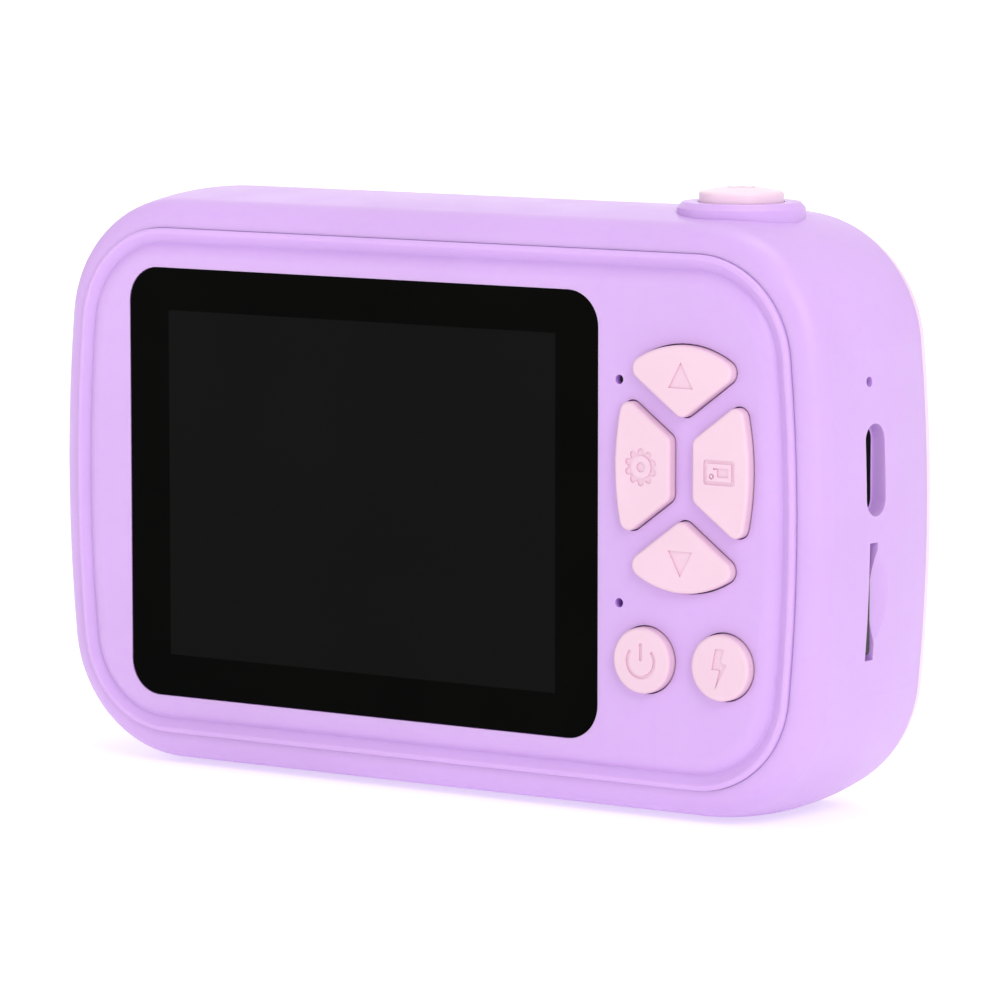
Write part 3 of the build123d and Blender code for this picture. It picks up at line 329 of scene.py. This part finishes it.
key_face_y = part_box("up_button")[0].y
lilac = {"roughness": LILAC_ROUGHNESS, "deep": LILAC_SHADE_AND_SPECK, "subsurface": LILAC_SUBSURFACE}
slot_materials = {
    "lilac_shell": moulded("lilac_satin", LILAC, **lilac),
    "pink_shell": moulded("pale_pink_satin", PALE_PINK),
    "pink_keys": key_plastic("key_pink", KEY_PINK, KEY_PINK_SHADE, key_face_y),
    "lilac_gloss": moulded("lilac_gloss", LILAC_GLOSS, roughness=0.22, depth=0.000001, coat=0.4),
    "black_glass": printed_glass("printed_cover_lens"),
    "clear_plastic": clear("clear_acrylic", (0.97, 0.97, 0.98)),
    "black_plastic": moulded("black_filled_nylon", (0.020, 0.020, 0.022), roughness=0.5),
    "white_plastic": moulded("white_diffuser", (0.82, 0.80, 0.68), roughness=0.4),
    "circuit_board": board("solder_mask"),
    "steel": metal("tinned_sheet", (0.62, 0.62, 0.64)),
    "screw_steel": metal("zinc_plate", (0.50, 0.50, 0.53), roughness=0.35, stretch=(1, 1, 1)),
    "black_rubber": rubber("black_foam_rubber", (0.045, 0.045, 0.047)),
    "battery_foil": metal("pouch_foil", (0.70, 0.71, 0.73), roughness=0.38, stretch=(8, 1, 1)),
    "lead_insulation": moulded("red_lead_insulation", (0.55, 0.035, 0.030), roughness=0.45),
    "flex_amber": moulded("amber_polyimide", (0.50, 0.23, 0.035), roughness=0.3, coat=0.3),
    "panel_glass": moulded("display_panel", (0.020, 0.020, 0.024), roughness=0.15),
    "card_black": moulded("card_plastic", (0.022, 0.022, 0.024), roughness=0.45),
    "plunger_white": moulded("plunger_plastic", (0.78, 0.78, 0.75), roughness=0.42),
}
for row in frame["record"]["subparts"]:
    piece = nodes[row["node"]]
    piece.data.materials.clear()
    piece.data.materials.append(slot_materials[row["material_slot"]])

shutter_pink = moulded("shutter_pink", SHUTTER_PINK, roughness=0.36, depth=0.000002)
nodes["shutter_button"].data.materials[0] = shutter_pink
# Painted shade: the USB-C opening is painted black behind the lip at the bottom of its recess
port_low, port_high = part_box("usb_c_shell")
throat_low = port_low + Vector((0, THROAT_INSET_Y, THROAT_INSET_Z)) * MM
throat_high = port_high + Vector((THROAT_LIP, -THROAT_INSET_Y, -THROAT_INSET_Z)) * MM
housing_lilac = moulded("lilac_housing", LILAC, throat=(throat_low, throat_high), **lilac)
nodes["main_housing"].data.materials[0] = housing_lilac
# Painted shade: the steel of the USB-C shell and card socket is darkened to near black for the shade inside
# the port and slot
port_steel = metal("port_steel_painted_shade", SHADED_PORT_STEEL, roughness=0.55)
for name in ("usb_c_shell", "card_socket"):
    nodes[name].data.materials[0] = port_steel
nodes["lens_bezel"].data.materials[0] = lens_bezel_plastic("grooved_baffle")
nodes["lens_element"].data.materials[0] = coated_lens("coated_lens")


# Studio

SKY_LIGHT = 0.65
FLOOR_HALF = 30.0
# The floor glows a little more away from the object, between two radii, so that it ends up white
FLOOR_GLOW_NEAR, FLOOR_GLOW_FAR = 0.48, 0.64
GLOW_START, GLOW_END = 0.1, 0.8
# Each light: name, place, disc diameter in metres, power in watts; all aim at the object's middle
LIGHTS = (
    ("key_light", (0.9, -0.65, 0.8), 0.6, 5.2),
    ("edge_light", (1.0, -0.75, 0.15), 0.3, 1.4),
    ("fill_light", (-0.7, -1.1, 0.25), 0.9, 2.4),
    ("top_light", (0.1, 0.15, 1.2), 0.8, 4.1),
    ("rim_light", (-0.7, 1.05, 0.45), 1.0, 1.9),
)
AIM = Vector((0, 0, 0.03))


def area_light(name, place, size, power):
    data = bpy.data.lights.new(name, "AREA")
    data.shape, data.size, data.energy = "DISK", size, power
    light = bpy.data.objects.new(name, data)
    light.location = place
    light.rotation_euler = (AIM - Vector(place)).to_track_quat("-Z", "Y").to_euler()
    bpy.context.scene.collection.objects.link(light)


def white_world():
    """White to the camera, and a softer white as light."""
    world = bpy.data.worlds.new("studio_white")
    bpy.context.scene.world = world
    world.use_nodes = True
    tree = world.node_tree
    sky = tree.nodes["Background"]
    sky.inputs["Color"].default_value = (1.0, 1.0, 1.0, 1)
    seen = tree.nodes.new("ShaderNodeLightPath").outputs["Is Camera Ray"]
    strength = tree.nodes.new("ShaderNodeMapRange")
    strength.inputs["To Min"].default_value = SKY_LIGHT
    strength.inputs["To Max"].default_value = 1.0
    tree.links.new(seen, strength.inputs["Value"])
    tree.links.new(strength.outputs["Result"], sky.inputs["Strength"])


def pale_floor():
    floor_mesh = bpy.data.meshes.new("floor")
    signs = ((-1, -1), (1, -1), (1, 1), (-1, 1))
    corners = [(x * FLOOR_HALF, y * FLOOR_HALF, 0) for x, y in signs]
    floor_mesh.from_pydata(corners, [], [(0, 1, 2, 3)])
    floor = bpy.data.objects.new("floor", floor_mesh)
    bpy.context.scene.collection.objects.link(floor)
    s = Shader("pale_floor")
    s.link(s.ramp(s.noise(0.4), FLOOR_GREY, FLOOR_GREY_LIGHT, 0.3, 0.7), s.main.inputs["Base Color"])
    radius = s.node("ShaderNodeVectorMath", operation="LENGTH")
    s.link(s.place, radius.inputs[0])
    glow = s.ramp(radius.outputs["Value"], FLOOR_GLOW_NEAR, FLOOR_GLOW_FAR, GLOW_START, GLOW_END)
    s.link(glow, s.main.inputs["Emission Strength"])
    s.set(Roughness=0.9, Specular_IOR_Level=0.0, Emission_Color=(1, 1, 1, 1))
    floor_mesh.materials.append(s.material)


def photo_camera():
    data = bpy.data.cameras.new("camera")
    data.lens, data.sensor_width = LENS_MM, SENSOR_MM
    data.clip_start, data.clip_end = 0.01, 100
    camera = bpy.data.objects.new("camera", data)
    back = Vector((
        math.sin(CAMERA_AZIMUTH) * math.cos(CAMERA_ELEVATION),
        -math.cos(CAMERA_AZIMUTH) * math.cos(CAMERA_ELEVATION),
        math.sin(CAMERA_ELEVATION),
    ))
    low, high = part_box("display_glass")
    display_middle = Vector(((low.x + high.x) / 2, low.y, (low.z + high.z) / 2))
    camera.location = display_middle + CAMERA_FROM_DISPLAY
    camera.rotation_euler = (-back).to_track_quat("-Z", "Y").to_euler()
    bpy.context.scene.collection.objects.link(camera)
    bpy.context.scene.camera = camera


white_world()
pale_floor()
for light in LIGHTS:
    area_light(*light)
photo_camera()
bpy.context.scene.view_settings.view_transform = "Standard"
